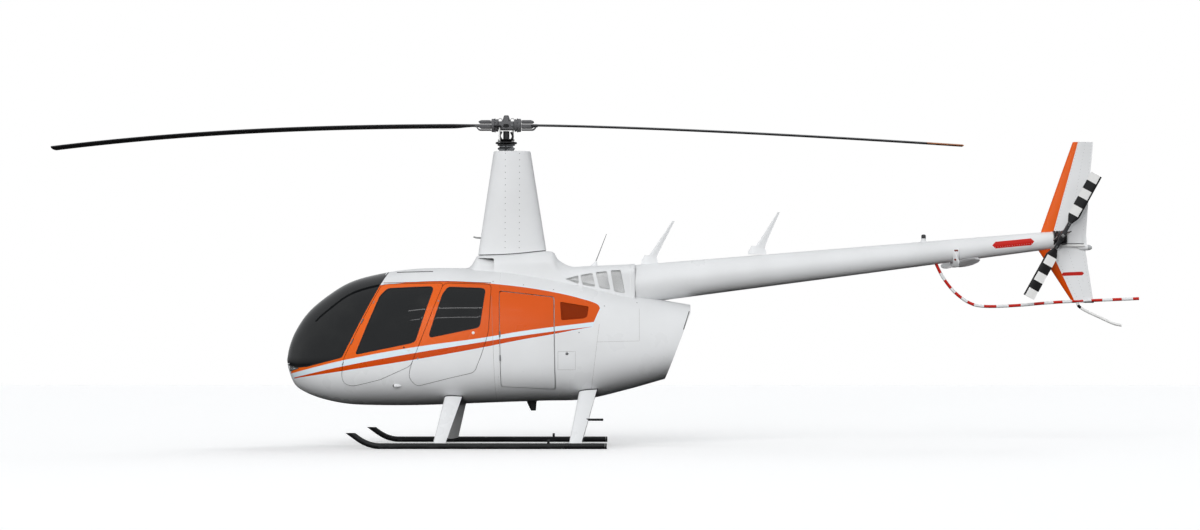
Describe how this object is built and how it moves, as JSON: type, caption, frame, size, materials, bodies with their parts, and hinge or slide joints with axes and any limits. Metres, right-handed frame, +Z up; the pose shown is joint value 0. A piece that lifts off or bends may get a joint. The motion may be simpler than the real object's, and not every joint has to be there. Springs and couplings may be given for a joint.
{
  "type": "light turbine helicopter",
  "caption": "Light turbine helicopter on skids, with hinged cabin doors, a teetering main rotor on a tall mast fairing, a slim tail boom, fins and a tail rotor.",
  "frame": {"origin": "on the ground at the middle of the overall length and width, with the skids standing on Z = 0", "axes": "nose to -X, tail to +X, left side to -Y, +Z up; the main rotor turns about +Z"},
  "size_m": [11.7747, 2.301, 3.573],
  "materials": {
    "white_paint": "gloss",
    "orange_paint": "gloss",
    "dark_paint": "satin",
    "blade_paint": "satin",
    "bare_steel": "satin",
    "tinted_glass": "gloss",
    "seat_leather": "matte",
    "dark_plastic": "matte",
    "guard_paint": "satin",
    "lamp_lens": "gloss"
  },
  "bodies": {
    "airframe": {"aft_cowl": "white_paint", "baggage_floor": "dark_plastic", "beacon": "lamp_lens", "belly_antenna": "white_paint", "cabin_floor": "dark_plastic", "cabin_shell": "white_paint", "comm_antenna": "white_paint", "cyclic_control": "dark_plastic", "engine_block": "bare_steel", "exhaust_pipe": "bare_steel", "gear_leg_front_left": "white_paint", "gear_leg_front_right": "white_paint", "gear_leg_rear_left": "white_paint", "gear_leg_rear_right": "white_paint", "instrument_panel": "dark_plastic", "intake_screen_left": "orange_paint", "intake_screen_right": "orange_paint", "locator_antenna": "white_paint", "lower_fin": "white_paint", "mast_fairing": "white_paint", "nav_antenna": "white_paint", "pitot_tube": "bare_steel", "seat_front_left": "seat_leather", "seat_front_right": "seat_leather", "seat_rear": "seat_leather", "skid_left": "dark_paint", "skid_right": "dark_paint", "stabilizer": "white_paint", "swashplate_lower": "bare_steel", "tail_boom": "white_paint", "tail_gearbox": "dark_paint", "tail_guard": "guard_paint", "tail_light": "lamp_lens", "tail_skid": "bare_steel", "upper_cowl": "white_paint", "upper_fin": "white_paint", "vent_screen_left": "bare_steel", "vent_screen_right": "bare_steel", "whip_antenna": "dark_paint", "windshield_left": "tinted_glass", "windshield_right": "tinted_glass"},
    "main_rotor": {"mast_shaft": "bare_steel", "rotor_hub": "bare_steel", "main_blade_1": "blade_paint", "main_blade_2": "blade_paint", "swashplate_upper": "bare_steel"},
    "tail_rotor": {"tail_rotor_hub": "bare_steel", "tail_blade_1": "white_paint", "tail_blade_2": "white_paint"},
    "front_left_door": {"door_front_left": "white_paint", "window_front_left": "tinted_glass"},
    "front_right_door": {"door_front_right": "white_paint", "window_front_right": "tinted_glass"},
    "rear_left_door": {"door_rear_left": "white_paint", "window_rear_left": "tinted_glass"},
    "rear_right_door": {"door_rear_right": "white_paint", "window_rear_right": "tinted_glass"},
    "baggage_door": {"baggage_door": "white_paint"}
  },
  "joints": [
    {"name": "main_rotor_spin", "type": "hinge", "parent": "airframe", "child": "main_rotor", "pos_m": [-0.952, 0, 3.2], "axis": [0, 0, 1], "continuous": true},
    {"name": "tail_rotor_spin", "type": "hinge", "parent": "airframe", "child": "tail_rotor", "pos_m": [5.014, -0.31, 2.248], "axis": [0, 1, 0], "continuous": true},
    {"name": "front_left_door_hinge", "type": "hinge", "parent": "airframe", "child": "front_left_door", "pos_m": [-2.662, -0.609, 0.9], "axis": [-0.438, -0.0717, -0.8961], "range_deg": [0, 70]},
    {"name": "rear_left_door_hinge", "type": "hinge", "parent": "airframe", "child": "rear_left_door", "pos_m": [-1.92, -0.747, 0.87], "axis": [-0.3494, -0.0932, -0.9323], "range_deg": [0, 70]},
    {"name": "front_right_door_hinge", "type": "hinge", "parent": "airframe", "child": "front_right_door", "pos_m": [-2.662, 0.609, 0.9], "axis": [0.438, -0.0717, 0.8961], "range_deg": [0, 70]},
    {"name": "rear_right_door_hinge", "type": "hinge", "parent": "airframe", "child": "rear_right_door", "pos_m": [-1.92, 0.747, 0.87], "axis": [0.3494, -0.0932, 0.9323], "range_deg": [0, 70]},
    {"name": "baggage_door_hinge", "type": "hinge", "parent": "airframe", "child": "baggage_door", "pos_m": [-0.976, -0.748, 0.69], "axis": [0.0209, -0.0601, -0.998], "range_deg": [0, 80]}
  ]
}
